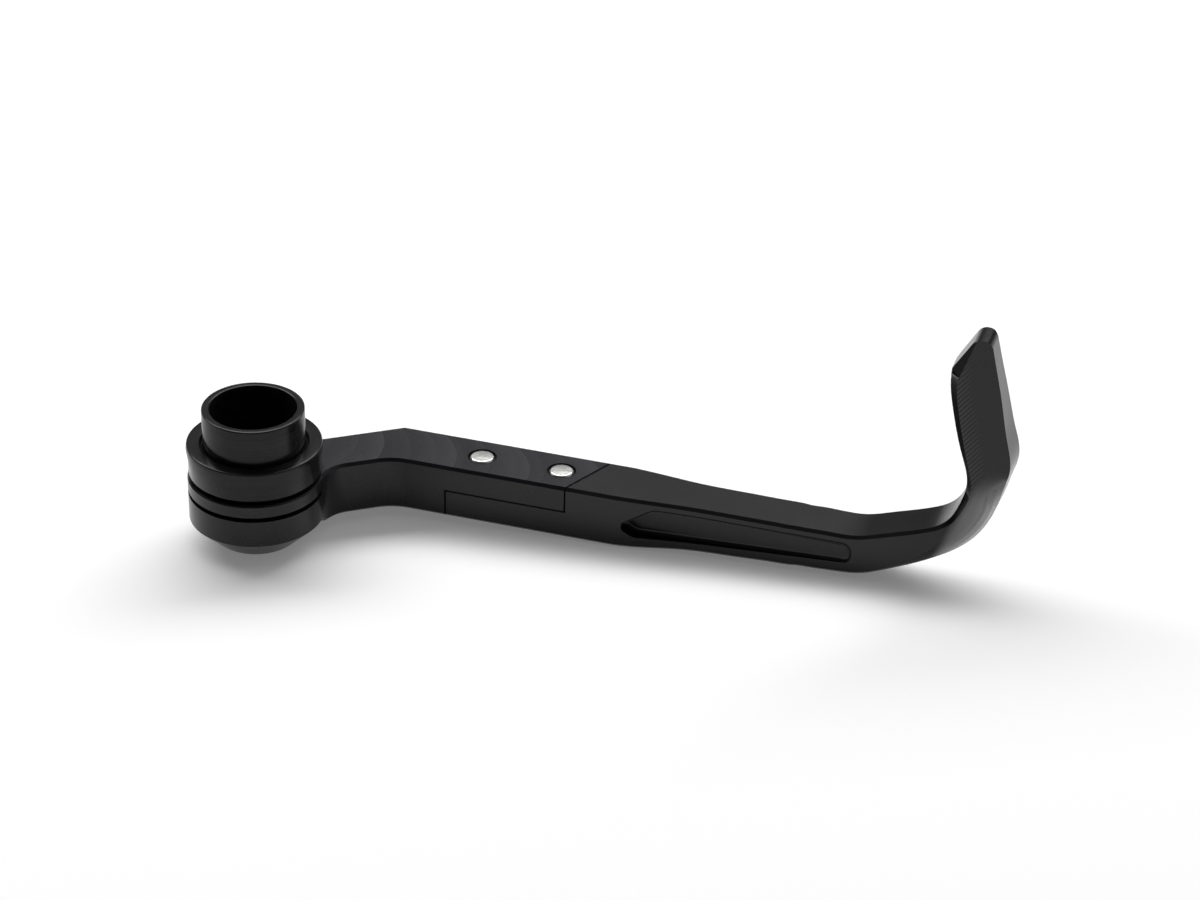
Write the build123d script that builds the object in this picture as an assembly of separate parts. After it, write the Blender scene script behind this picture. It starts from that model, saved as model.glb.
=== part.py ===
from build123d import *
from math import cos, radians, sin, sqrt, tan
import os

# Brake lever guard for a handlebar end, in millimetres.
# Origin: on the sleeve's axis, on the flange face that seats on the handlebar's end.
# +Z points out of the sleeve's mouth, +X runs along the blade, +Y is the guard's back.

# Sleeve
BORE_D = 20.6
SLEEVE_WALL = 1.8
SLEEVE_RISE = 9.0
SLEEVE_ROOT = 0.6
SPIGOT_WALL = 2.6
FLANGE_HEIGHT = 4.3
FLANGE_TAPER = 0.8
FLANGE_LIP = 0.1
BODY_HEIGHT = 3.2
NECK_GAP = 1.1
NECK_DEPTH = 1.6

# Collar of the arm, below the sleeve
COLLAR_WALL = 3.05
COLLAR_STRAIGHT = 10.9
BEVEL_HEIGHT = 5.8
BEVEL_DEPTH = 6.0
GROOVE_DROP = 3.1
GROOVE_HEIGHT = 1.2
GROOVE_DEPTH = 1.5
SCREW_HOLE_D = 8.5
HEAD_RECESS_D = 14.5
HEAD_RECESS_DEPTH = 8.2
SCREW_WEB = 3.5

# Arm
ARM_THICKNESS = 13.6
ARM_WIDTH = 15.2
ARM_OFFSET_Y = 24.3
ROOT_ANGLE = 35.0
ROOT_WIDTH = 13.8
ROOT_OFFSET = 4.4
ROOT_FILLET_FRONT = 8.5
ROOT_FILLET_BACK = 6.0
KINK_FILLET_FRONT = 12.0
KINK_FILLET_BACK = 1.5
EDGE_BREAK = 0.7

# Half-lap joint between the arm and the blade
TONGUE_THICKNESS = 6.5
PIN_D = 6.0
PIN_PITCH = 19.9
PIN_INNER_X = 48.3
PIN_MARGIN = 6.7
PIN_PROUD = 0.6
PIN_CHAMFER = 0.4
PIN_COUNTERSINK = 0.45
SEAM_SLANT = 25.0
TONGUE_NOSE_R = 0.9
NOTCH_FILLET = 0.6

# Blade
SHOULDER_RUN = 7.0
TAPER_RUN = 24.0
SLIM_RUN = 36.0
BEND_LEAD = 12.0
BAR_STEPS = 8
LEAD_STEPS = 3
TAPER_HEIGHT = 11.7
SLIM_HEIGHT = 10.1
FRONT_STEP = 1.0
TAPER_DEPTH = 12.2
SLIM_DEPTH = 11.5

# Pocket in the blade's front
POCKET_INSET = 2.2
POCKET_APEX_DROP = 8.0
POCKET_HEEL_RUN = 4.2
POCKET_SLANT = 33.0
POCKET_TOP_MARGIN = 2.2
POCKET_BOTTOM_MARGIN = 3.0
POCKET_END_MARGIN = 1.6
POCKET_DEPTH = 3.2
POCKET_END_DEPTH = 1.5
POCKET_APEX_R = 1.3
POCKET_HEEL_R = 3.0
POCKET_TURN_R = 8.0
POCKET_END_R = 2.2
POCKET_FLOOR_R = 1.1

# Upswept tip: points on its inner and outer edge, along and above the start of the bend
TIP_INNER = (
    (2.3, 0.9), (6.2, 2.2), (15.0, 5.2), (20.3, 8.5),
    (22.8, 13.5), (23.8, 18.0), (22.0, 25.8), (18.5, 40.5))
TIP_OUTER = (
    (3.6, -8.8), (9.1, -6.4), (16.9, -2.9), (24.3, 1.4),
    (27.3, 4.6), (30.5, 11.6), (33.0, 22.0), (33.5, 25.0), (32.9, 28.2), (30.3, 40.4))
TIP_STEPS = 20
TIP_INNER_LEAN = 2.0
TIP_OUTER_LEAN = 13.0
TIP_STRIP = 1.9
BEND_START = 3.0
BEND_SETBACK = 5.0
BEND_BOW = 0.6
TIP_SETBACK = 1.0
TIP_DEPTH = 7.6
TIP_FLARE = 0.6
NOSE_HEIGHT = 53.1
NOSE_R = 2.65
NOSE_SLANT = 60.0
NOSE_BEVEL = 1.1
NOSE_BEVEL_TAPER = 8.0

# Shares of the tip's length between which its section changes
STRIP_WIDENS = (0.25, 0.5)
CREASE_NEARS_OUTER = (0.4, 0.15)
FRONT_FALLS_BACK = (0.15, 0.45)
FRONT_COMES_FORWARD = (0.45, 0.64)
BACK_THINS = (0.3, 1.0)
SIDE_FLARES = (0.3, 0.6)
FLARE_FADES = (0.6, 0.9)

# Points on the part of a section's front that falls back, as shares across it
FALL_POINTS = (0, 0.25, 0.5, 0.75, 1)

# Clearances
SPIGOT_CLEARANCE = 0.03
SPIGOT_END_GAP = 0.1
PIN_CLEARANCE = 0.02
SEAM_GAP = 0.12

# Sizes worked out from those above
BORE_R = BORE_D / 2
SLEEVE_R = BORE_R + SLEEVE_WALL
SPIGOT_R = BORE_R + SPIGOT_WALL
SOCKET_R = SPIGOT_R + SPIGOT_CLEARANCE
COLLAR_R = SOCKET_R + COLLAR_WALL
FLANGE_R = COLLAR_R + FLANGE_LIP
BODY_Z = -(FLANGE_HEIGHT + BODY_HEIGHT)
ARM_TOP = BODY_Z - NECK_GAP
ARM_BOTTOM = ARM_TOP - ARM_THICKNESS
LAP_Z = ARM_TOP - TONGUE_THICKNESS
BEVEL_Z = ARM_TOP - COLLAR_STRAIGHT
BASE_Z = BEVEL_Z - BEVEL_HEIGHT
WEB_BOTTOM = BASE_Z + HEAD_RECESS_DEPTH
WEB_TOP = WEB_BOTTOM + SCREW_WEB
ARM_FRONT = ARM_OFFSET_Y - ARM_WIDTH / 2
ARM_BACK = ARM_OFFSET_Y + ARM_WIDTH / 2
PIN_R = PIN_D / 2
PIN_XS = {"joint_pin_inner": PIN_INNER_X, "joint_pin_outer": PIN_INNER_X + PIN_PITCH}
LAP_X = PIN_INNER_X - PIN_MARGIN
SEAM_X = PIN_INNER_X + PIN_PITCH + PIN_MARGIN
TAPER_X = SEAM_X + SHOULDER_RUN
SLIM_X = TAPER_X + TAPER_RUN
BEND_X = SLIM_X + SLIM_RUN
BLADE_FRONT = ARM_FRONT + FRONT_STEP
FAR = 2 * BEND_X
UPWARD = (Align.CENTER, Align.CENTER, Align.MIN)
DOWNWARD = (Align.CENTER, Align.CENTER, Align.MAX)


def outline(*points):
    """Face bounded by straight lines through the points."""
    return make_face(Polyline(*points, close=True))


def round_corner(face, point, radius):
    """The face with the corner nearest to a point rounded."""
    return fillet(face.vertices().sort_by_distance(Vector(*point))[0], radius)


def turned(*points):
    """Solid of revolution about Z from radius and height pairs."""
    return revolve(Plane.XZ * outline(*points), Axis.Z)


def from_above(face, low, high):
    """Solid between two heights from a face drawn in plan."""
    return extrude(Pos(0, 0, low) * face, high - low)


def from_front(face, near, far):
    """Solid between two depths from a face drawn in the front view."""
    return Pos(0, near, 0) * extrude(Plane.XZ * face, near - far)


def bar_end_sleeve():
    """Turned sleeve with a tapered flange, a body, a neck and a spigot for the arm's collar."""
    end_z = WEB_TOP + SPIGOT_END_GAP
    edge = EDGE_BREAK / 2
    return turned(
        (BORE_R, SLEEVE_RISE - edge), (BORE_R + edge, SLEEVE_RISE),
        (SLEEVE_R - edge, SLEEVE_RISE), (SLEEVE_R, SLEEVE_RISE - edge),
        (SLEEVE_R, SLEEVE_ROOT), (SLEEVE_R + SLEEVE_ROOT, 0), (FLANGE_R - edge, 0), (FLANGE_R, -edge),
        (FLANGE_R - FLANGE_TAPER, -FLANGE_HEIGHT), (COLLAR_R, -FLANGE_HEIGHT - edge),
        (COLLAR_R, BODY_Z), (COLLAR_R - NECK_DEPTH, BODY_Z), (COLLAR_R - NECK_DEPTH, ARM_TOP),
        (SPIGOT_R, ARM_TOP), (SPIGOT_R, end_z), (BORE_R, end_z))


def collar():
    """Round end of the arm with a groove in its side and a bevelled lower end."""
    edge = EDGE_BREAK / 2
    groove_z = ARM_TOP - GROOVE_DROP
    return turned(
        (0, ARM_TOP), (COLLAR_R - edge, ARM_TOP), (COLLAR_R, ARM_TOP - edge),
        (COLLAR_R, groove_z), (COLLAR_R - GROOVE_DEPTH, groove_z),
        (COLLAR_R - GROOVE_DEPTH, groove_z - GROOVE_HEIGHT), (COLLAR_R, groove_z - GROOVE_HEIGHT),
        (COLLAR_R, BEVEL_Z), (COLLAR_R - BEVEL_DEPTH, BASE_Z), (0, BASE_Z))


def root_point(along, across):
    """Plan point given along and across the slanted root of the arm."""
    turn = radians(ROOT_ANGLE)
    return (along * cos(turn) - across * sin(turn), along * sin(turn) + across * cos(turn))


def root_fillet(across, radius):
    """Along and across of a fillet's centre that touches the collar and the root edge."""
    centre = across + radius
    return sqrt((COLLAR_R + abs(radius)) ** 2 - centre ** 2), centre


def kink_point(across, y):
    """Plan point where a root edge meets the straight edge at a given depth."""
    along = (y - across * cos(radians(ROOT_ANGLE))) / sin(radians(ROOT_ANGLE))
    return root_point(along, across)


def seam_x(y):
    """Where the slanted end of the arm's tongue lies at a given depth."""
    return SEAM_X + (y - ARM_OFFSET_Y) * tan(radians(SEAM_SLANT))


def arm_plan():
    """Plan of the arm: a slanted root that leaves the collar in two fillets, and a straight tongue."""
    front = ROOT_OFFSET - ROOT_WIDTH / 2
    back = ROOT_OFFSET + ROOT_WIDTH / 2
    front_along, front_across = root_fillet(front, -ROOT_FILLET_FRONT)
    back_along, back_across = root_fillet(back, ROOT_FILLET_BACK)
    front_kink = kink_point(front, ARM_FRONT)
    back_kink = kink_point(back, ARM_BACK)
    plan = outline(
        (0, 0), root_point(front_along, front_across), root_point(front_along, front), front_kink,
        (seam_x(ARM_FRONT), ARM_FRONT), (seam_x(ARM_BACK), ARM_BACK), back_kink,
        root_point(back_along, back), root_point(back_along, back_across))
    plan = round_corner(plan, front_kink, KINK_FILLET_FRONT)
    plan = round_corner(plan, back_kink, KINK_FILLET_BACK)
    plan -= Pos(*root_point(front_along, front_across)) * Circle(ROOT_FILLET_FRONT)
    return plan - Pos(*root_point(back_along, back_across)) * Circle(ROOT_FILLET_BACK)


def pin_holes():
    """Holes for both pins, countersunk at the top of the arm."""
    sink_r = PIN_R + PIN_COUNTERSINK
    holes = []
    for x in PIN_XS.values():
        hole = Cylinder(PIN_R + PIN_CLEARANCE, FAR)
        sink = Pos(0, 0, ARM_TOP - sink_r / 2) * Cone(0, sink_r, sink_r)
        holes.append(Pos(x, ARM_OFFSET_Y, 0) * (hole + sink))
    return holes


def arm_rims(plate):
    """Top and bottom edges of the arm, from the collar to the lap's end."""
    rims = plate.edges().filter_by(Axis.Z, reverse=True)
    rims = rims.filter_by(lambda edge: (edge @ 0.5).X < SEAM_X - PIN_MARGIN)
    return rims.filter_by(lambda edge: sqrt((edge @ 0.5).X ** 2 + (edge @ 0.5).Y ** 2) > COLLAR_R)


def guard_arm():
    """Arm with its collar, bored for the spigot and the clamping screw, and its upper lap tongue."""
    plate = from_above(arm_plan(), ARM_BOTTOM, ARM_TOP)
    arm = collar() + chamfer(arm_rims(plate), EDGE_BREAK)
    arm -= Pos(0, 0, WEB_TOP) * Cylinder(SOCKET_R, FAR, align=UPWARD)
    arm -= Cylinder(SCREW_HOLE_D / 2, FAR)
    arm -= Pos(0, 0, WEB_BOTTOM) * Cylinder(HEAD_RECESS_D / 2, FAR, align=DOWNWARD)
    arm -= Pos(LAP_X - SEAM_GAP, ARM_OFFSET_Y, LAP_Z) * Box(
        FAR, 2 * ARM_WIDTH, FAR, align=(Align.MIN, Align.CENTER, Align.MAX))
    tongue_end = arm.edges().sort_by_distance(Vector(SEAM_X, ARM_OFFSET_Y, LAP_Z))[0]
    return fillet(tongue_end, TONGUE_NOSE_R) - pin_holes()


def ease(value, start, end):
    """Smooth step from 0 at the start to 1 at the end."""
    t = min(max((value - start) / (end - start), 0), 1)
    return t * t * (3 - 2 * t)


def along_blade(x, root, taper, slim):
    """A size of the blade at a place along it: eased over the taper, then straight to the bend."""
    straight = min(max((x - SLIM_X) / SLIM_RUN, 0), 1)
    return root + (taper - root) * ease(x, TAPER_X, SLIM_X) + (slim - taper) * straight


def blade_height(x):
    """Height of the blade at a place along it."""
    return along_blade(x, ARM_THICKNESS, TAPER_HEIGHT, SLIM_HEIGHT)


def blade_front(x):
    """Depth of the blade's front at a place along it."""
    return along_blade(x, ARM_FRONT, BLADE_FRONT, BLADE_FRONT)


def falling_back(share, bow):
    """Shares across and back of a point on the front's outer part: straight, or bowed into a round."""
    return share + bow * (share - share ** 2), share - bow * (share - share ** 2)


def section(inner, across, width, front, back, strip, crease, setback, bow=0, flare=0):
    """One cross-section of the blade, from its inner edge across to its outer edge.

    Its front has a strip bevelled at the inner edge, a flat up to the crease, and a part that falls
    back from there to the outer edge. The outer side flares by a little towards the back.
    """
    falls = [falling_back(share, bow) for share in FALL_POINTS]
    corners = (
        (0, back - EDGE_BREAK), (0, front + strip), (strip, front),
        *[(crease + (width - crease) * a, front + setback * b) for a, b in falls],
        (width + flare, back - EDGE_BREAK), (width + flare - EDGE_BREAK, back), (EDGE_BREAK, back))
    return outline(*[inner + across * along + Vector(0, depth, 0) for along, depth in corners])


def bar_section(x):
    """Cross-section of the blade's straight run."""
    height = blade_height(x)
    front = blade_front(x)
    back = front + along_blade(x, ARM_WIDTH, TAPER_DEPTH, SLIM_DEPTH)
    return section(
        Vector(x, 0, ARM_TOP), Vector(0, 0, -1), height, front, back,
        EDGE_BREAK, height - EDGE_BREAK, EDGE_BREAK)


def tip_end(point, lean):
    """Point beyond the nose on the straight that leaves the last point of an edge at a lean."""
    above = NOSE_HEIGHT + 2 * NOSE_R
    return point[0] - (above - point[1]) * tan(radians(lean)), above


def tip_edge(start, points, lean):
    """One edge of the tip in the front view, from the bar to beyond the nose."""
    end = tip_end(points[-1], lean)
    return Pos(BEND_X, ARM_TOP) * Spline(
        start, *points, end, tangents=((1, 0), (-sin(radians(lean)), cos(radians(lean)))))


def tip_section(inner_edge, outer_edge, done):
    """Cross-section of the tip, on which the crease crosses from the outer to the inner edge."""
    inner = inner_edge @ done
    across = outer_edge @ done - inner
    width = across.length
    strip = EDGE_BREAK + (TIP_STRIP - EDGE_BREAK) * ease(done, *STRIP_WIDENS)
    crease = strip + EDGE_BREAK / 2
    crease += (width - EDGE_BREAK - crease) * ease(done, *CREASE_NEARS_OUTER)
    setback = EDGE_BREAK + (BEND_SETBACK - EDGE_BREAK) * ease(done, *FRONT_FALLS_BACK)
    forward = ease(done, *FRONT_COMES_FORWARD)
    setback += (TIP_SETBACK - BEND_SETBACK) * forward
    bow = BEND_BOW * (ease(done, *FRONT_FALLS_BACK) - forward)
    back = BLADE_FRONT + SLIM_DEPTH + (TIP_DEPTH - SLIM_DEPTH) * ease(done, *BACK_THINS)
    flare = TIP_FLARE * (ease(done, *SIDE_FLARES) - ease(done, *FLARE_FADES))
    return section(
        Vector(inner.X, 0, inner.Y), Vector(across.X, 0, across.Y).normalized(), width,
        BLADE_FRONT, back, strip, crease, setback, bow, flare)


def blade_body():
    """Square root, tapered bar and upswept tip of the blade, before anything is cut."""
    start_x = BEND_X - BEND_START
    lead_x = start_x - BEND_LEAD
    inner = tip_edge((-BEND_START, 0), TIP_INNER, TIP_INNER_LEAN)
    outer = tip_edge((-BEND_START, -blade_height(start_x)), TIP_OUTER, TIP_OUTER_LEAN)
    bar = [bar_section(TAPER_X + (lead_x - TAPER_X) * i / BAR_STEPS) for i in range(BAR_STEPS + 1)]
    tip = [bar_section(lead_x + BEND_LEAD * i / LEAD_STEPS) for i in range(LEAD_STEPS)]
    tip += [tip_section(inner, outer, i / TIP_STEPS) for i in range(TIP_STEPS + 1)]
    root = extrude(bar_section(TAPER_X), LAP_X - TAPER_X, dir=(1, 0, 0))
    return root + loft(bar) + loft(tip)


def nose_cuts():
    """What lies beyond the tip's rounded nose and slanted end, and the tapered bevel on that end."""
    reach = 2 * SLIM_HEIGHT
    end_x, end_above = tip_end(TIP_OUTER[-1], TIP_OUTER_LEAN)
    nose_x = end_x + (end_above - NOSE_HEIGHT) * tan(radians(TIP_OUTER_LEAN)) - NOSE_R
    centre = Vector(BEND_X + nose_x, ARM_TOP + NOSE_HEIGHT)
    slant = Vector(1, 0).rotate(Axis.Z, NOSE_SLANT)
    upward = Vector(0, 1).rotate(Axis.Z, NOSE_SLANT)
    outward = Vector(1, 0).rotate(Axis.Z, TIP_OUTER_LEAN)
    touch = centre + upward * NOSE_R
    low = touch - slant * reach
    right = centre + outward * FAR
    beyond = outline(low, touch, centre, right, right + Vector(0, FAR), low + upward * FAR)
    beyond -= Pos(centre) * Circle(NOSE_R)
    along = slant.rotate(Axis.Z, NOSE_BEVEL_TAPER)
    across = upward.rotate(Axis.Z, NOSE_BEVEL_TAPER)
    bevel_plane = Plane(
        origin=(touch.X, BLADE_FRONT + NOSE_BEVEL, touch.Y),
        x_dir=(along.X, 0, along.Y), z_dir=(across.X, -1, across.Y))
    return [
        from_front(beyond, 0, 2 * ARM_BACK),
        bevel_plane * Box(2 * reach, 2 * reach, reach, align=UPWARD)]


def pocket():
    """Recess in the blade's front, pointed at the taper and shallower towards the bend."""
    left = TAPER_X + POCKET_INSET
    heel = left + POCKET_HEEL_RUN
    right = BEND_X - POCKET_END_MARGIN
    apex = ARM_TOP - POCKET_APEX_DROP
    top = ARM_TOP - POCKET_TOP_MARGIN
    turn = left + (top - apex) / tan(radians(POCKET_SLANT))
    bottom = ARM_TOP + POCKET_BOTTOM_MARGIN
    corners = {
        (left, apex): POCKET_APEX_R,
        (heel, bottom - blade_height(heel)): POCKET_HEEL_R,
        (right, bottom - blade_height(right)): POCKET_END_R,
        (right, top): POCKET_END_R,
        (turn, top): POCKET_TURN_R}
    face = outline(*corners)
    for corner, radius in corners.items():
        face = round_corner(face, corner, radius)
    start = Vector(left, blade_front(left) + POCKET_DEPTH)
    end = Vector(right, BLADE_FRONT + POCKET_END_DEPTH)
    floor = Plane(origin=start, x_dir=end - start, z_dir=(end - start).cross(Vector(0, 0, 1)))
    cutter = extrude(floor * Pos(-left, 0) * face, ARM_BACK)
    return fillet(cutter.faces().sort_by(Axis.Y)[-1].edges(), POCKET_FLOOR_R)


def tongue_notch():
    """Room above the blade's root for the arm's tongue, up to the slanted seam."""
    gap = SEAM_GAP / cos(radians(SEAM_SLANT))
    far_y = 2 * ARM_BACK
    notch = from_above(
        outline((0, 0), (seam_x(0) + gap, 0), (seam_x(far_y) + gap, far_y), (0, far_y)), LAP_Z, 0)
    foot = notch.edges().sort_by_distance(Vector(SEAM_X + gap, ARM_OFFSET_Y, LAP_Z))[0]
    return fillet(foot, NOTCH_FILLET)


def guard_blade():
    """Blade with its lap root, front pocket and cut tip."""
    return blade_body() - pocket() - tongue_notch() - nose_cuts() - pin_holes()


def joint_pin(x):
    """Pin pressed through the lap from above, its chamfered top a little proud of the arm."""
    pin = Pos(x, ARM_OFFSET_Y, ARM_BOTTOM) * Cylinder(PIN_R, ARM_THICKNESS + PIN_PROUD, align=UPWARD)
    return chamfer(pin.faces().sort_by(Axis.Z)[-1].edges(), PIN_CHAMFER)


NODES = {
    "bar_end_sleeve": bar_end_sleeve(),
    "guard_arm": guard_arm(),
    "guard_blade": guard_blade(),
    **{name: joint_pin(x) for name, x in PIN_XS.items()}}

os.makedirs("parts", exist_ok=True)
for name, solid in NODES.items():
    export_step(solid, f"parts/{name}.step")
    print(name, len(solid.solids()), round(solid.volume, 1), solid.is_valid)
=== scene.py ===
"""Looks of a brake lever guard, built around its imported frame."""
import math

import bpy
from mathutils import Matrix, Vector

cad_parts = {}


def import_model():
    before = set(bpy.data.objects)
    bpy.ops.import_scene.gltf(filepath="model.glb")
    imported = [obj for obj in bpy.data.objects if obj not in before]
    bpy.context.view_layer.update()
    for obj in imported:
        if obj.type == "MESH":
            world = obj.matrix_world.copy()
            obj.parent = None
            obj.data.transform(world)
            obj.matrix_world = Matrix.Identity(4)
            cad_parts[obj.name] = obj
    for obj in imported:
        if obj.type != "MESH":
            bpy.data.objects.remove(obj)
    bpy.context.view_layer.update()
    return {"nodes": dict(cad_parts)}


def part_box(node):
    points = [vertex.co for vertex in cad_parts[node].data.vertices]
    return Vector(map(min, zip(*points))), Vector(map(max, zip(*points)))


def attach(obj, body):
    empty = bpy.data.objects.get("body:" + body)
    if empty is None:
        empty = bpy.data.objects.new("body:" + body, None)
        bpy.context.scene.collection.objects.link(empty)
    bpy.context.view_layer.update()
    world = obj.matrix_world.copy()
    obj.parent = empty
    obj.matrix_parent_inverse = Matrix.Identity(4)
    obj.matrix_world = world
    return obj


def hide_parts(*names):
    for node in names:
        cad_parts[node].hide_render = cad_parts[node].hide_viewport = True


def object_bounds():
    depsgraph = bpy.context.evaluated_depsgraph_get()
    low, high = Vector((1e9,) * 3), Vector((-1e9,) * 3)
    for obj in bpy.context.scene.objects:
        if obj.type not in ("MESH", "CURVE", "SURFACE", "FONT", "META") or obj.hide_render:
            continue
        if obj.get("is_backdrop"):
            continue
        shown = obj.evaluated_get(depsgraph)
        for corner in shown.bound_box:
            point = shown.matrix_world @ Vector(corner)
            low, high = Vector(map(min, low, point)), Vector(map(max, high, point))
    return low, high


MM = 0.001

# Camera, placed where the photograph was taken from
IMAGE_WIDTH = 1200
FOCAL_PIXELS = 3300
SENSOR_WIDTH = 36
CAMERA_AZIMUTH = 16.62
CAMERA_ELEVATION = 30.46
CAMERA_ROLL = 1.3
CAMERA_PLACE = (269.16 * MM, -617.48 * MM, 392.80 * MM)
CAMERA_NEAR = 10 * MM

# Floor, tilted a little under the collar's foot
FLOOR_SIZE = 12.0
FLOOR_SLOPE = 0.042
FLOOR_GAP = 0.1 * MM
COLLAR_FOOT_R = 9.98 * MM
FLOOR_WHITE = 0.93
FLOOR_LIFT = 0.17

# Lamp
SOFTBOX_POWER = 95
SOFTBOX_SIZE = (5.0, 1.1)
SOFTBOX_DISTANCE = 2.6
SOFTBOX_AZIMUTH = 24
SOFTBOX_ELEVATION = 53

# Room: its brightness by the sine of the angle above the floor, and where it fades towards the front
ROOM_TONES = ((0.0, 1.0), (0.10, 1.0), (0.15, 0.03), (0.36, 0.06), (0.47, 0.36), (1.0, 0.34))
LOW_LIGHT_END = (0.10, 0.17)
LOW_LIGHT_FADE = (0.1, 0.5)
HIGH_LIGHT_FADE = (-0.35, 0.1)
FRONT_SHARE = 0.12

# Edges and shading
MERGE = 0.001 * MM
EDGE_SEGMENTS = 3
EDGE_ANGLE = math.radians(25)
TURNED_SMOOTH = math.radians(32)
MILLED_SMOOTH = math.radians(24)

# Sleeve, as radius and height steps in mm from its mouth round to the bore's end
TURNED_SIDES = 192
BORE_R = 10.3 * MM
SLEEVE_TOP = 9.0 * MM
SLEEVE_STEPS = (
    (12.1, 9.0), (12.1, -1.3), (12.75, -1.3), (12.75, 0.0), (15.95, 0.0), (16.08, -1.2), (15.65, -4.4),
    (15.65, -7.5), (14.38, -7.5), (14.38, -8.6), (12.9, -8.6), (12.9, -13.5), (10.3, -13.5))
SLEEVE_EDGE = 0.3 * MM

# Pins, and the countersinks round them, which are painted dark as shade
PIN_PLACES = (48.3 * MM, 68.2 * MM)
PIN_Y = 24.3 * MM
PIN_SHADE_R = 3.5 * MM
PIN_SIDES = 96
PIN_CROWN = 0.03 * MM
PIN_CROWN_RINGS = 3
PIN_SUNK = 0.45 * MM
PIN_BREAK = 0.4 * MM
PIN_EDGE = 0.08 * MM

# Lap joint: its ends along the blade, its height, the slant of its upper end, and the dark line of painted
# shade along its gap, over a bumped groove
LAP_X = 41.54 * MM
LAP_Z = -15.1 * MM
SEAM_X = 74.96 * MM
SEAM_Y = 24.3 * MM
SEAM_SLANT = math.radians(25)
SEAM_HALF = 0.22 * MM
SEAM_CORE = 0.7 * SEAM_HALF
SEAM_TOP_SHARE = 0.55
SEAM_ROUGH = 0.5
SEAM_BUMP = (1.0, -0.25 * MM)

# Arm's root: its lower edges, the way it leaves the collar, and the angles over which its corners rise
ROOT_LOW = -22.2 * MM
ROOT_EDGE = -21.5 * MM
ROOT_RISE = 1.9 * MM
ROOT_WAY = math.radians(34.5)
ROOT_CORNER = (math.radians(14.9), math.radians(26.2))
ROOT_R = 18 * MM
ROOT_SLACK = 0.02 * MM
COLLAR_LOW = -19.5 * MM
COLLAR_LOW_R = 15.98 * MM
COLLAR_BEVEL = 6.0 / 5.8

# Pocket in the blade's front: its outline, the line of painted shade on its rim, and how far its floor
# comes forward
POCKET_LEFT = (84.1 * MM, -16.6 * MM)
POCKET_HEEL = (88.3 * MM, -18.87 * MM)
POCKET_RIGHT = 140.3 * MM
POCKET_TOP = -10.8 * MM
POCKET_SLANT = math.radians(33)
POCKET_LOW_RISE = 3.1 / 52
POCKET_CORNER_R = 2.2 * MM
POCKET_TURN = 1.2 * MM
POCKET_RIM = 0.42 * MM
POCKET_DEEP = 3.5 * MM
POCKET_SLACK = 0.22 * MM
POCKET_RISE = 0.55
SLIM_X = 105.9 * MM
BLADE_FRONT_Y = 17.7 * MM

# Bend of the blade: a point on the crease across its front, the way outwards from it, and its shading
CREASE_X = 158.9 * MM
CREASE_Z = -12.6 * MM
CREASE_OUT = (0.934, -0.358)
CREASE_SOFT = 1.4 * MM
BEND_EDGE = 0.3 * MM
BEND_FRONT_Y = 24 * MM
BEND_TOP = (3.5 * MM, 14.5 * MM)
BEND_FALL = 0.45
BEND_GLOSS = 0.8
COAT_IOR = 2.0
COAT_ROUGH = 0.25

# Tip of the blade: where its bevels lie, the end bevel being painted dark as shade, and how far the
# shading of its inner strip leans up
BEVELS_Z = (-2 * MM, 4 * MM)
BEVEL_TURN = (-0.40, -0.30)
END_BEVEL_UP = (0.15, 0.25)
STRIP_LEAN = 0.9

# Ranges of the surface's direction that count as facing up, to the front, or partly to the front
FACES_UP = (0.93, 0.99)
FACES_FRONT = (-0.97, -0.90)
PARTLY_FRONT = (-0.4, -0.2)

# Noise, as detail and roughness
SOFT_NOISE = (3.0, 0.55)
FINE_NOISE = (4.0, 0.6)
RING_NOISE = (4.0, 0.65)
FEED_NOISE = (2.0, 0.55)

# Rings left by the lathe
RING_SCALE = 2600
COLLAR_R = 16.2 * MM
COLLAR_FADE = 0.2 * MM

# Sweeps of the face mill along the arm: arcs at a wide and a fine pitch, and the feed lines in them
CUTTER_R = 18 * MM
CUTTER_Y = 17 * MM
CUTTER_START = 6.9 * MM
CUTTER_PITCH = 18.4 * MM
CUTTER_CURVE = 2.5
CUTTER_SHARE = 0.5
CUTTER_FINE_PITCH = 6.7 * MM
CUTTER_FINE_CURVE = 2.0
CUTTER_FINE_SHARE = 0.2
FEED_SCALE = 3200
FEED_SHARE = 0.2

# Mill marks on the tip's front, which fade away from its inner edge
TIP_MARK_PITCH = 0.82 * MM
TIP_MARK_ANGLE = math.radians(51)
TIP_MARK_CURVE = 1.5
TIP_MARK_START = (3 * MM, 9 * MM)
TIP_MARK_LEAN = 0.2
TIP_MARK_FADE = (167 * MM, 173 * MM)
TIP_MARK_FAINT = 0.18
TIP_MARK_SHARE = 0.9
TIP_MARK_GLOSS = 0.22
TIP_MARK_BUMP = (0.25, 0.05 * MM)

# Finish of the sleeve
SLEEVE_SHADES = ((0.003, 0.003, 0.0034), (0.019, 0.0188, 0.0203))
SLEEVE_STREAKS = (0.36, 0.64)
SLEEVE_RING_SHARE = 0.6
SLEEVE_CLOUD_SCALE = 120
SLEEVE_CLOUD_SHARE = 0.4
SLEEVE_TONES = (0.3, 0.7)
SLEEVE_ROUGH = (0.15, 0.23)
SLEEVE_BUMP = (0.14, 0.02 * MM)
SLEEVE_REFLECTANCE = 0.22

# Finish of the arm
ARM_SHADES = ((0.006, 0.006, 0.0078), (0.017, 0.0163, 0.0215))
ARM_RING_SHARE = 0.12
ARM_CLOUD_SCALE = 90
ARM_CLOUD_SHARE = 0.3
ARM_TONES = (0.2, 0.9)
ARM_ROUGH = (0.24, 0.31)
ARM_BUMP = (0.1, 0.02 * MM)
ARM_REFLECTANCE = 0.3

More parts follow.
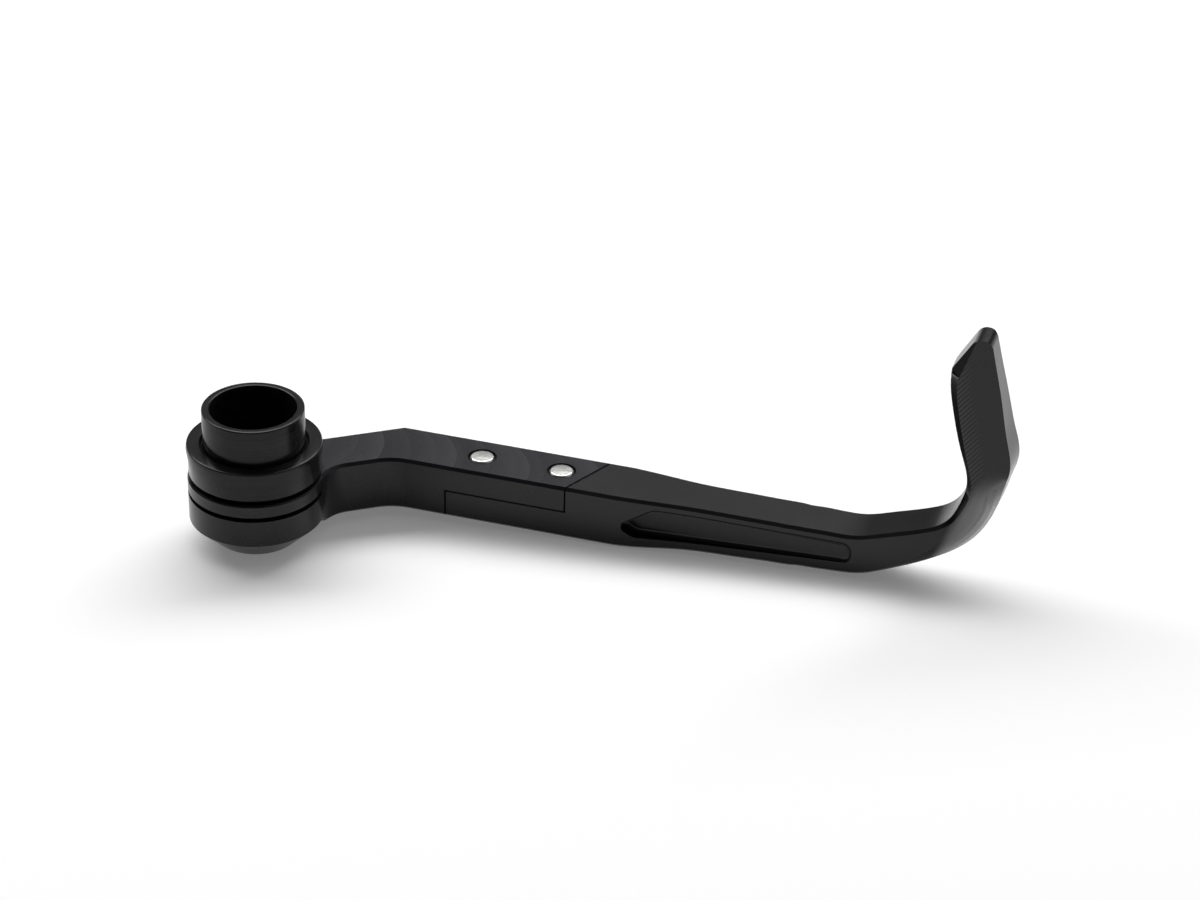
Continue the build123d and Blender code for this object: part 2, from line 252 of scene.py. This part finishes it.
# Finish of the blade
BLADE_SHADES = ((0.007, 0.007, 0.0078), (0.021, 0.0208, 0.022))
BLADE_GRAIN_SCALE = 1800
BLADE_GRAIN_SHARE = 0.25
BLADE_CLOUD_SCALE = 70
BLADE_CLOUD_SHARE = 0.3
BLADE_TONES = (0.15, 0.6)
BLADE_ROUGH = (0.2, 0.28)
BLADE_BUMP = (0.04, 0.02 * MM)
BLADE_REFLECTANCE = 0.3

# Finish of the pins
STEEL_SHADES = ((0.56, 0.56, 0.54), (0.80, 0.80, 0.77))
STEEL_SPECK_SCALE = 900
STEEL_SPECK_SHARE = 0.5
STEEL_SCRATCH_SCALE = 420
STEEL_SCRATCH_SHARE = 0.5
STEEL_SCRATCH_TURN = 0.5
STEEL_SCRATCH_STRETCH = 9
STEEL_TONES = (0.3, 0.7)
STEEL_ROUGH = (0.20, 0.28)
STEEL_BUMP = (0.08, 0.03 * MM)


def set_inputs(tree, node, inputs):
    """Sets a node's inputs, or links those that are given as sockets."""
    for key, value in inputs.items():
        if isinstance(value, bpy.types.NodeSocket):
            tree.links.new(value, node.inputs[key])
        else:
            node.inputs[key].default_value = value


def new_node(tree, kind, inputs=None, **settings):
    """A node with its settings and its inputs."""
    made = tree.nodes.new(kind)
    for key, value in settings.items():
        setattr(made, key, value)
    set_inputs(tree, made, inputs or {})
    return made


def maths(tree, operation, a, b=0.0, c=0.0):
    """The result of one step of arithmetic."""
    return new_node(tree, "ShaderNodeMath", {0: a, 1: b, 2: c}, operation=operation).outputs[0]


def chained(tree, operation, values):
    """Values taken together one after another by the same step."""
    result = values[0]
    for value in values[1:]:
        result = maths(tree, operation, result, value)
    return result


def plus(tree, *values):
    return chained(tree, "ADD", values)


def times(tree, *values):
    return chained(tree, "MULTIPLY", values)


def most(tree, *values):
    return chained(tree, "MAXIMUM", values)


def least(tree, *values):
    return chained(tree, "MINIMUM", values)


def minus(tree, a, b):
    return maths(tree, "SUBTRACT", a, b)


def size_of(tree, value):
    return maths(tree, "ABSOLUTE", value)


def distance(tree, a, b):
    """Length of the line that goes one value along and the other across."""
    return maths(tree, "SQRT", plus(tree, times(tree, a, a), times(tree, b, b)))


def blend(tree, *parts):
    """Sum of values, each taken by its share."""
    return plus(tree, *[times(tree, value, share) for value, share in parts])


def ranged(tree, value, low, high, to_low, to_high, **settings):
    """A value carried from one range to another, and held at its ends."""
    return new_node(tree, "ShaderNodeMapRange", {
        "Value": value, "From Min": low, "From Max": high, "To Min": to_low, "To Max": to_high},
        **settings).outputs[0]


def shades(tree, value, dark, light):
    """A colour between two, by a value from 0 to 1."""
    mix = new_node(tree, "ShaderNodeMix", {"Factor": value}, data_type="RGBA")
    colours = [socket for socket in mix.inputs if socket.type == "RGBA"]
    for socket, colour in zip(colours, (dark, light)):
        socket.default_value = (*colour, 1)
    return next(socket for socket in mix.outputs if socket.type == "RGBA")


def shader_tree(name):
    """A new material with its node tree and its shader."""
    material = bpy.data.materials.new(name)
    material.use_nodes = True
    shader = material.node_tree.nodes["Principled BSDF"]
    return material, material.node_tree, shader


def split(tree, vector):
    """The three numbers of a vector."""
    return new_node(tree, "ShaderNodeSeparateXYZ", {0: vector}).outputs


def place_on_piece(tree):
    """The place on a piece, as Object coordinates."""
    return new_node(tree, "ShaderNodeTexCoord").outputs["Object"]


def direction(tree):
    """The three numbers of the surface's direction: to the right, to the back and up."""
    return split(tree, new_node(tree, "ShaderNodeTexCoord").outputs["Normal"])


def facing_up(tree):
    """1 where the surface faces upwards, 0 elsewhere."""
    return ranged(tree, direction(tree)[2], *FACES_UP, 0.0, 1.0)


def facing_front(tree):
    """1 where the surface faces the front, 0 elsewhere."""
    return ranged(tree, direction(tree)[1], *FACES_FRONT, 1.0, 0.0)


def turned_to_front(tree):
    """1 where the surface is turned at least partly to the front, 0 elsewhere."""
    return ranged(tree, direction(tree)[1], *PARTLY_FRONT, 1.0, 0.0)


def noise(tree, vector, scale, detail, roughness):
    return new_node(tree, "ShaderNodeTexNoise", {
        "Vector": vector, "Scale": scale, "Detail": detail, "Roughness": roughness}).outputs["Fac"]


def bump(tree, height, strength, depth, normal=None):
    """Direction of a surface raised by a height, on top of another direction if one is given."""
    inputs = {"Height": height, "Strength": strength, "Distance": depth}
    if normal:
        inputs["Normal"] = normal
    return new_node(tree, "ShaderNodeBump", inputs).outputs[0]


def leaned_up(tree, normal, amount):
    """A surface's direction, leaned upwards by an amount."""
    lean = new_node(tree, "ShaderNodeCombineXYZ", {2: amount}).outputs[0]
    leaned = new_node(tree, "ShaderNodeVectorMath", {0: normal, 1: lean}, operation="ADD").outputs[0]
    return new_node(tree, "ShaderNodeVectorMath", {0: leaned}, operation="NORMALIZE").outputs[0]


def turning_rings(tree, radius, z):
    """Fine rings left by the lathe."""
    place = new_node(tree, "ShaderNodeCombineXYZ", {0: radius, 2: z}).outputs[0]
    return noise(tree, place, RING_SCALE, *RING_NOISE)


def cutter_arcs(tree, sweep, pitch, curve):
    """Tone that rises across each arc of the cutter and drops at the next one."""
    return maths(tree, "POWER", maths(tree, "FRACT", maths(tree, "DIVIDE", sweep, pitch)), curve)


def mill_sweeps(tree, x, y):
    """Tone of the arcs that a face mill leaves along the arm, and the fine feed lines in them."""
    off = minus(tree, y, CUTTER_Y)
    rest = minus(tree, CUTTER_R ** 2, times(tree, off, off))
    arc = maths(tree, "SQRT", most(tree, rest, 0.0))
    sweep = minus(tree, minus(tree, x, arc), CUTTER_START)
    place = new_node(tree, "ShaderNodeCombineXYZ", {0: sweep}).outputs[0]
    feed = noise(tree, place, FEED_SCALE, *FEED_NOISE)
    wide = cutter_arcs(tree, sweep, CUTTER_PITCH, CUTTER_CURVE)
    fine = cutter_arcs(tree, sweep, CUTTER_FINE_PITCH, CUTTER_FINE_CURVE)
    tone = blend(tree, (wide, CUTTER_SHARE), (feed, FEED_SHARE), (fine, CUTTER_FINE_SHARE))
    return tone, feed


def lap_seam_shade(tree, x, y, z):
    """Painted shade: 1 on the thin lines where the arm's tongue and the blade's root meet, painted dark as
    the shade in their gap, 0 elsewhere.
    """
    slant = times(tree, minus(tree, y, SEAM_Y), math.tan(SEAM_SLANT))
    past = minus(tree, minus(tree, x, SEAM_X), slant)
    below = minus(tree, LAP_Z, z)
    before = minus(tree, LAP_X, x)
    upper_end = most(tree, size_of(tree, past), below)
    lower_end = most(tree, size_of(tree, before), times(tree, below, -1.0))
    lap = most(tree, size_of(tree, below), before, past)
    nearest = least(tree, upper_end, lower_end, lap)
    wider_on_top = ranged(tree, facing_up(tree), 0.0, 1.0, 1.0, SEAM_TOP_SHARE)
    return ranged(tree, times(tree, nearest, wider_on_top), SEAM_CORE, SEAM_HALF, 1.0, 0.0)


def pin_ring_shade(tree, x, y):
    """Painted shade in the narrow countersinks round the pins: 1 there, 0 elsewhere."""
    across = minus(tree, y, PIN_Y)
    nearest = least(tree, *[distance(tree, minus(tree, x, place), across) for place in PIN_PLACES])
    return maths(tree, "LESS_THAN", nearest, PIN_SHADE_R)


def pocket_rim_shade(tree, x, z):
    """Painted shade: 1 on a dark line along the broken edge round the pocket, apart from its lower side, 0
    elsewhere.
    """
    low = plus(tree, times(tree, minus(tree, x, POCKET_HEEL[0]), POCKET_LOW_RISE), POCKET_HEEL[1])
    under = minus(tree, plus(tree, low, POCKET_CORNER_R), z)
    over = minus(tree, z, POCKET_TOP - POCKET_CORNER_R)
    beyond = minus(tree, x, POCKET_RIGHT - POCKET_CORNER_R)
    from_corner = distance(tree, most(tree, over, under, 0.0), most(tree, beyond, 0.0))
    square_end = minus(tree, from_corner, POCKET_CORNER_R)
    pointed_end = blend(tree, (minus(tree, x, POCKET_LEFT[0]), -math.sin(POCKET_SLANT)),
                        (minus(tree, z, POCKET_LEFT[1]), math.cos(POCKET_SLANT)))
    outside = maths(tree, "SMOOTH_MAX", square_end, pointed_end, POCKET_TURN)
    off_edge = size_of(tree, minus(tree, outside, POCKET_RIM / 2))
    line = ranged(tree, off_edge, POCKET_RIM / 4, POCKET_RIM / 2, 1.0, 0.0)
    above = maths(tree, "GREATER_THAN", z, low)
    right_of_tip = maths(tree, "GREATER_THAN", x, POCKET_LEFT[0] + POCKET_TURN)
    return times(tree, line, above, right_of_tip)


def tip_bevels(tree, z):
    """1 on the strip along the tip's inner edge, and 1 on the bevel of its slanted end, where shade is
    painted dark; 0 elsewhere.
    """
    right, back, up = direction(tree)
    left = ranged(tree, right, *BEVEL_TURN, 1.0, 0.0)
    front = ranged(tree, back, *BEVEL_TURN, 1.0, 0.0)
    bevels = times(tree, left, front, ranged(tree, z, *BEVELS_Z, 0.0, 1.0))
    end = times(tree, bevels, ranged(tree, up, *END_BEVEL_UP, 0.0, 1.0))
    return minus(tree, bevels, end), end


def tip_marks(tree, x, z):
    """Fine slanted mill marks on the tip's front, strongest at its inner edge."""
    along = minus(tree, times(tree, z, math.cos(TIP_MARK_ANGLE)), times(tree, x, math.sin(TIP_MARK_ANGLE)))
    wave = maths(tree, "SINE", times(tree, along, 2 * math.pi / TIP_MARK_PITCH))
    marks = maths(tree, "POWER", ranged(tree, wave, -1.0, 1.0, 0.0, 1.0), TIP_MARK_CURVE)
    across = plus(tree, x, times(tree, z, TIP_MARK_LEAN))
    near_inner = ranged(tree, across, *TIP_MARK_FADE, 1.0, TIP_MARK_FAINT)
    on_tip = times(tree, ranged(tree, z, *TIP_MARK_START, 0.0, 1.0), facing_front(tree))
    return times(tree, marks, near_inner, on_tip)


def bend_front(tree, x, z):
    """Direction of the bend's front, rounded outwards from its crease, and the gloss it has there."""
    out = blend(tree, (minus(tree, x, CREASE_X), CREASE_OUT[0]), (minus(tree, z, CREASE_Z), CREASE_OUT[1]))
    below_tip = ranged(tree, z, *BEND_TOP, 1.0, 0.0, interpolation_type="SMOOTHSTEP")
    fall = times(tree, maths(tree, "SMOOTH_MAX", out, 0.0, CREASE_SOFT), below_tip, -BEND_FALL)
    facet = ranged(tree, out, -CREASE_SOFT / 2, CREASE_SOFT, 0.0, BEND_GLOSS)
    return bump(tree, fall, 1.0, 1.0), times(tree, facet, below_tip, turned_to_front(tree))


def turned_black():
    """Black anodised aluminium with the fine rings of the lathe."""
    material, tree, shader = shader_tree("turned_black")
    coords = place_on_piece(tree)
    x, y, z = split(tree, coords)
    rings = turning_rings(tree, distance(tree, x, y), z)
    cloud = noise(tree, coords, SLEEVE_CLOUD_SCALE, *SOFT_NOISE)
    tone = blend(tree, (rings, SLEEVE_RING_SHARE), (cloud, SLEEVE_CLOUD_SHARE))
    streaks = ranged(tree, tone, *SLEEVE_STREAKS, 0.0, 1.0)
    set_inputs(tree, shader, {
        "Base Color": shades(tree, streaks, *SLEEVE_SHADES),
        "Roughness": ranged(tree, tone, *SLEEVE_TONES, *SLEEVE_ROUGH),
        "Normal": bump(tree, rings, *SLEEVE_BUMP),
        "Specular IOR Level": SLEEVE_REFLECTANCE})
    return material


def milled_black():
    """Black anodised arm: rings on its collar, the sweeps of a face mill on its top, and painted shade
    along the lap seam and in the countersinks round the pins.
    """
    material, tree, shader = shader_tree("milled_black")
    coords = place_on_piece(tree)
    x, y, z = split(tree, coords)
    radius = distance(tree, x, y)
    on_collar = ranged(tree, radius, COLLAR_R, COLLAR_R + COLLAR_FADE, 1.0, 0.0)
    on_top = times(tree, facing_up(tree), minus(tree, 1.0, on_collar))
    rings = turning_rings(tree, radius, z)
    swept, feed = mill_sweeps(tree, x, y)
    cloud = noise(tree, coords, ARM_CLOUD_SCALE, *SOFT_NOISE)
    # Painted shade: the seam and the countersinks get a darker colour, and black metal that reflects next
    # to nothing.
    dark = most(tree, lap_seam_shade(tree, x, y, z), pin_ring_shade(tree, x, y))
    tone = minus(tree, blend(
        tree, (swept, on_top), (cloud, ARM_CLOUD_SHARE), (rings, ARM_RING_SHARE)), dark)
    worn = ranged(tree, tone, *ARM_TONES, *ARM_ROUGH)
    fine_lines = bump(tree, blend(tree, (rings, on_collar), (feed, on_top)), *ARM_BUMP)
    set_inputs(tree, shader, {
        "Base Color": shades(tree, tone, *ARM_SHADES),
        "Metallic": dark,
        "Roughness": plus(tree, worn, times(tree, dark, SEAM_ROUGH)),
        "Normal": bump(tree, dark, *SEAM_BUMP, fine_lines),
        "Specular IOR Level": ARM_REFLECTANCE})
    return material


def blade_black():
    """Black anodised blade: a fine satin, a glossy bend, slanted mill marks on the tip's front, and
    painted shade on the lap seam, the tip's end bevel and the pocket's rim.
    """
    material, tree, shader = shader_tree("blade_black")
    coords = place_on_piece(tree)
    x, y, z = split(tree, coords)
    grain = noise(tree, coords, BLADE_GRAIN_SCALE, *FINE_NOISE)
    cloud = noise(tree, coords, BLADE_CLOUD_SCALE, *SOFT_NOISE)
    marks = tip_marks(tree, x, z)
    seam_shade = lap_seam_shade(tree, x, y, z)
    strip, end_bevel_shade = tip_bevels(tree, z)
    rim_shade = times(tree, pocket_rim_shade(tree, x, z), facing_front(tree))
    # Painted shade: the seam, the end bevel and the pocket's rim get a darker colour, and black metal that
    # reflects next to nothing.
    dark = most(tree, seam_shade, end_bevel_shade, rim_shade)
    tone = minus(tree, blend(
        tree, (grain, BLADE_GRAIN_SHARE), (cloud, BLADE_CLOUD_SHARE), (marks, TIP_MARK_SHARE)), dark)
    worn = ranged(tree, tone, *BLADE_TONES, *BLADE_ROUGH)
    rounded, bend_gloss = bend_front(tree, x, z)
    normal = leaned_up(tree, rounded, times(tree, strip, STRIP_LEAN))
    normal = bump(tree, grain, *BLADE_BUMP, normal)
    normal = bump(tree, seam_shade, *SEAM_BUMP, normal)
    set_inputs(tree, shader, {
        "Base Color": shades(tree, tone, *BLADE_SHADES),
        "Metallic": dark,
        "Roughness": plus(tree, worn, times(tree, seam_shade, SEAM_ROUGH)),
        "Normal": bump(tree, marks, *TIP_MARK_BUMP, normal),
        "Specular IOR Level": BLADE_REFLECTANCE,
        "Coat Weight": most(tree, bend_gloss, times(tree, marks, TIP_MARK_GLOSS)),
        "Coat IOR": COAT_IOR,
        "Coat Roughness": COAT_ROUGH})
    return material


def pin_steel():
    """Bright ground steel with fine specks and small scratches."""
    material, tree, shader = shader_tree("pin_steel")
    coords = place_on_piece(tree)
    stretched = new_node(tree, "ShaderNodeMapping", {
        "Vector": coords, "Rotation": (0, 0, STEEL_SCRATCH_TURN), "Scale": (1, STEEL_SCRATCH_STRETCH, 1)})
    speck = noise(tree, coords, STEEL_SPECK_SCALE, *FINE_NOISE)
    scratch = noise(tree, stretched.outputs[0], STEEL_SCRATCH_SCALE, *SOFT_NOISE)
    tone = blend(tree, (speck, STEEL_SPECK_SHARE), (scratch, STEEL_SCRATCH_SHARE))
    set_inputs(tree, shader, {
        "Base Color": shades(tree, tone, *STEEL_SHADES),
        "Metallic": 1,
        "Roughness": ranged(tree, tone, *STEEL_TONES, *STEEL_ROUGH),
        "Normal": bump(tree, tone, *STEEL_BUMP)})
    return material


def dress(piece, material):
    """Gives a piece its finish."""
    piece.data.materials.clear()
    piece.data.materials.append(material)


def settle():
    """Puts the selected piece's place into its mesh, so that its object sits at the origin."""
    bpy.ops.object.transform_apply(location=True, rotation=True, scale=True)


def finish_edges(piece, width):
    """Fine rounded edges, and smooth shading between them."""
    edges = piece.modifiers.new("edges", "BEVEL")
    edges.width = width
    edges.segments = EDGE_SEGMENTS
    edges.limit_method = "ANGLE"
    edges.angle_limit = EDGE_ANGLE
    bpy.ops.object.modifier_apply(modifier="edges")
    bpy.ops.object.shade_smooth_by_angle(angle=TURNED_SMOOTH)


def bar_end_sleeve(material):
    """Sleeve turned from one ring, extruded and resized from step to step."""
    bpy.ops.object.select_all(action="DESELECT")
    bpy.ops.mesh.primitive_circle_add(vertices=TURNED_SIDES, radius=BORE_R, location=(0, 0, SLEEVE_TOP))
    sleeve = bpy.context.object
    sleeve.name = "turned_sleeve"
    settle()
    radius, height = BORE_R, SLEEVE_TOP
    bpy.ops.object.mode_set(mode="EDIT")
    bpy.ops.mesh.select_all(action="SELECT")
    for step_r, step_z in SLEEVE_STEPS + ((BORE_R / MM, SLEEVE_TOP / MM),):
        rise = step_z * MM - height
        bpy.ops.mesh.extrude_region_move(TRANSFORM_OT_translate={"value": (0, 0, rise)})
        share = step_r * MM / radius
        bpy.ops.transform.resize(value=(share, share, 1), center_override=(0, 0, step_z * MM))
        radius, height = step_r * MM, step_z * MM
    bpy.ops.mesh.select_all(action="SELECT")
    bpy.ops.mesh.remove_doubles(threshold=MERGE)
    bpy.ops.mesh.normals_make_consistent(inside=False)
    bpy.ops.object.mode_set(mode="OBJECT")
    finish_edges(sleeve, SLEEVE_EDGE)
    dress(sleeve, material)
    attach(sleeve, "root")
    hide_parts("bar_end_sleeve")


def merged_copy(node, name):
    """A copy of a solid's mesh, its double points merged."""
    bpy.ops.object.select_all(action="DESELECT")
    piece = node.copy()
    piece.data = node.data.copy()
    piece.name = name
    bpy.context.collection.objects.link(piece)
    bpy.context.view_layer.objects.active = piece
    piece.select_set(True)
    bpy.ops.object.mode_set(mode="EDIT")
    bpy.ops.mesh.select_all(action="SELECT")
    bpy.ops.mesh.customdata_custom_splitnormals_clear()
    bpy.ops.mesh.remove_doubles(threshold=MERGE)
    bpy.ops.object.mode_set(mode="OBJECT")
    return piece


def even_shading(piece, points):
    """Smooth shading between sharp edges, the flat faces kept flat round the given points."""
    bpy.ops.object.shade_smooth_by_angle(angle=MILLED_SMOOTH)
    flats = piece.vertex_groups.new(name="flats")
    flats.add(points, 1.0, "REPLACE")
    evened = piece.modifiers.new("evened", "WEIGHTED_NORMAL")
    evened.keep_sharp = True
    evened.vertex_group = "flats"
    bpy.ops.object.modifier_apply(modifier="evened")
    piece.vertex_groups.clear()


def collar_bevel_r(z):
    """Radius of the collar's lower bevel at a height."""
    return COLLAR_LOW_R - (COLLAR_LOW - z) * COLLAR_BEVEL


def raise_root(arm):
    """Runs the corners of the arm's underside up to the collar's lower edge."""
    start, end = ROOT_CORNER
    for point in arm.data.vertices:
        x, y, z = point.co
        radius = math.hypot(x, y)
        on_edge = min(abs(z - ROOT_LOW), abs(z - ROOT_EDGE)) < ROOT_SLACK
        if on_edge and radius < ROOT_R:
            off = abs(math.atan2(y, x) - ROOT_WAY)
            point.co.z += ROOT_RISE * min(max((off - start) / (end - start), 0.0), 1.0)
            if radius < collar_bevel_r(z) + ROOT_SLACK:
                spread = collar_bevel_r(point.co.z) / radius
                point.co.x, point.co.y = x * spread, y * spread


def guard_arm(node, material):
    """Arm as a merged copy of its solid, its root brought up to the collar."""
    arm = merged_copy(node, "milled_arm")
    raise_root(arm)
    even_shading(arm, [point.index for point in arm.data.vertices])
    dress(arm, material)
    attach(arm, "root")
    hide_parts("guard_arm")


def raise_pocket_floor(blade):
    """Brings the pocket's floor forward along the blade, so that it runs out shallow at the bend."""
    for point in blade.data.vertices:
        x, y, z = point.co
        low = POCKET_HEEL[1] + (x - POCKET_HEEL[0]) * POCKET_LOW_RISE
        deep = y - BLADE_FRONT_Y
        in_length = SLIM_X < x < POCKET_RIGHT + POCKET_SLACK
        in_height = low - POCKET_SLACK < z < POCKET_TOP + POCKET_SLACK
        if in_length and in_height and 0 < deep < POCKET_DEEP:
            share = (x - SLIM_X) / (POCKET_RIGHT - SLIM_X)
            point.co.y = BLADE_FRONT_Y + deep * (1 - share * POCKET_RISE)


def on_bend(point):
    """True on the rounded front of the bend, outwards from its crease."""
    out = (point.x - CREASE_X) * CREASE_OUT[0] + (point.z - CREASE_Z) * CREASE_OUT[1]
    return out > BEND_EDGE and point.y < BEND_FRONT_Y


def guard_blade(node, material):
    """Blade as a merged copy of its solid, its pocket made shallower and its bend shaded smoothly."""
    blade = merged_copy(node, "milled_blade")
    raise_pocket_floor(blade)
    even_shading(blade, [point.index for point in blade.data.vertices if not on_bend(point.co)])
    dress(blade, material)
    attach(blade, "root")
    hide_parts("guard_blade")


def select_top(piece):
    """Selects the top face of a pin, ready to be worked on."""
    for part in (piece.data.vertices, piece.data.edges, piece.data.polygons):
        part.foreach_set("select", [False] * len(part))
    max(piece.data.polygons, key=lambda face: face.center.z).select = True
    bpy.ops.object.mode_set(mode="EDIT")
    bpy.ops.mesh.select_mode(type="FACE")


def joint_pins(material):
    """Two pressed steel pins with broken edges, the second copied from the first."""
    low, high = (Vector(corner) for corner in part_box("joint_pin_inner"))
    shift = Vector(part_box("joint_pin_outer")[0]) - low
    radius = (high.x - low.x) / 2
    middle = (low + high) / 2
    crown_z = high.z - PIN_SUNK - PIN_CROWN - PIN_BREAK
    bpy.ops.object.select_all(action="DESELECT")
    bpy.ops.mesh.primitive_cylinder_add(
        vertices=PIN_SIDES, radius=radius, depth=crown_z - low.z, end_fill_type="NGON",
        location=(middle.x, middle.y, (crown_z + low.z) / 2))
    inner = bpy.context.object
    inner.name = "steel_pin_inner"
    settle()
    select_top(inner)
    bpy.ops.mesh.inset(thickness=PIN_BREAK, depth=PIN_BREAK)
    width = (radius - PIN_BREAK) / (PIN_CROWN_RINGS + 1)
    for ring in range(PIN_CROWN_RINGS):
        share = (PIN_CROWN_RINGS - ring) / sum(range(PIN_CROWN_RINGS + 1))
        bpy.ops.mesh.inset(thickness=width, depth=PIN_CROWN * (1 - share))
    bpy.ops.object.mode_set(mode="OBJECT")
    finish_edges(inner, PIN_EDGE)
    dress(inner, material)
    bpy.ops.object.duplicate()
    outer = bpy.context.object
    outer.name = "steel_pin_outer"
    bpy.ops.transform.translate(value=shift)
    settle()
    for pin, node in ((inner, "joint_pin_inner"), (outer, "joint_pin_outer")):
        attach(pin, "root")
        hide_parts(node)


def floor():
    """Plain white floor under the guard, which takes its shadow."""
    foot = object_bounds()[0][2]
    bpy.ops.object.select_all(action="DESELECT")
    bpy.ops.mesh.primitive_plane_add(size=FLOOR_SIZE)
    plane = bpy.context.object
    plane.name = "floor"
    plane.rotation_euler = (0, -math.atan(FLOOR_SLOPE), 0)
    plane.location = (0, 0, foot - FLOOR_SLOPE * COLLAR_FOOT_R - FLOOR_GAP)
    material, tree, shader = shader_tree("floor_white")
    rays = new_node(tree, "ShaderNodeLightPath").outputs
    seen = most(tree, rays["Is Camera Ray"], rays["Is Glossy Ray"])
    set_inputs(tree, shader, {
        "Base Color": (FLOOR_WHITE, FLOOR_WHITE, FLOOR_WHITE, 1),
        "Roughness": 1,
        "Specular IOR Level": 0,
        "Emission Color": (1, 1, 1, 1),
        "Emission Strength": times(tree, seen, FLOOR_LIFT)})
    plane.data.materials.append(material)
    plane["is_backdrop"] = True


def softbox():
    """Wide soft lamp behind and above the guard."""
    bpy.ops.object.light_add(type="AREA")
    lamp = bpy.context.object
    lamp.name = "softbox"
    lamp.data.shape = "RECTANGLE"
    lamp.data.size, lamp.data.size_y = SOFTBOX_SIZE
    lamp.data.energy = SOFTBOX_POWER
    a, e = math.radians(SOFTBOX_AZIMUTH), math.radians(SOFTBOX_ELEVATION)
    towards = Vector((-math.sin(a) * math.cos(e), math.cos(a) * math.cos(e), math.sin(e)))
    centre = sum((Vector(corner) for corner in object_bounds()), Vector()) / 2
    lamp.location = centre + towards * SOFTBOX_DISTANCE
    lamp.rotation_euler = towards.to_track_quat("Z", "Y").to_euler()


def world():
    """Soft room light: pale low down behind the guard, dim above that, and grey overhead."""
    scene = bpy.context.scene
    scene.world = bpy.data.worlds.new("studio")
    scene.world.use_nodes = True
    tree = scene.world.node_tree
    way = split(tree, new_node(tree, "ShaderNodeTexCoord").outputs["Generated"])
    back, up = way[1], way[2]
    ramp = new_node(tree, "ShaderNodeValToRGB", {"Fac": up})
    tones = ramp.color_ramp.elements
    for place, _ in ROOM_TONES[1:-1]:
        tones.new(place)
    for element, (place, tone) in zip(tones, ROOM_TONES):
        element.position = place
        element.color = (tone, tone, tone, 1)
    low = ranged(tree, up, *LOW_LIGHT_END, 1.0, 0.0)
    behind = ranged(tree, back, *LOW_LIGHT_FADE, FRONT_SHARE, 1.0)
    overhead = ranged(tree, back, *HIGH_LIGHT_FADE, FRONT_SHARE, 1.0)
    set_inputs(tree, tree.nodes["Background"], {
        "Color": ramp.outputs[0],
        "Strength": blend(tree, (low, behind), (minus(tree, 1.0, low), overhead))})


def camera():
    """Camera at the photograph's place and angle."""
    bpy.ops.object.camera_add()
    eye = bpy.context.object
    eye.data.sensor_width = SENSOR_WIDTH
    eye.data.lens = FOCAL_PIXELS / IMAGE_WIDTH * SENSOR_WIDTH
    eye.data.clip_start = CAMERA_NEAR
    a, e, r = (math.radians(angle) for angle in (CAMERA_AZIMUTH, CAMERA_ELEVATION, CAMERA_ROLL))
    back = Vector((math.sin(a) * math.cos(e), -math.cos(a) * math.cos(e), math.sin(e)))
    level = Vector((math.cos(a), math.sin(a), 0))
    rise = back.cross(level)
    right = math.cos(r) * level + math.sin(r) * rise
    up = back.cross(right)
    turn = Matrix((right, up, back)).transposed()
    eye.matrix_world = Matrix.Translation(CAMERA_PLACE) @ turn.to_4x4()
    bpy.context.scene.camera = eye


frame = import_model()
bpy.ops.object.select_all(action="DESELECT")
nodes = frame["nodes"]
milled, satin, turned, steel = milled_black(), blade_black(), turned_black(), pin_steel()
for node_name, finish in (
        ("guard_arm", milled), ("guard_blade", satin), ("bar_end_sleeve", turned),
        ("joint_pin_inner", steel), ("joint_pin_outer", steel)):
    dress(nodes[node_name], finish)
guard_arm(nodes["guard_arm"], milled)
guard_blade(nodes["guard_blade"], satin)
bar_end_sleeve(turned)
joint_pins(steel)
floor()
softbox()
world()
camera()
bpy.context.scene.view_settings.view_transform = "Standard"
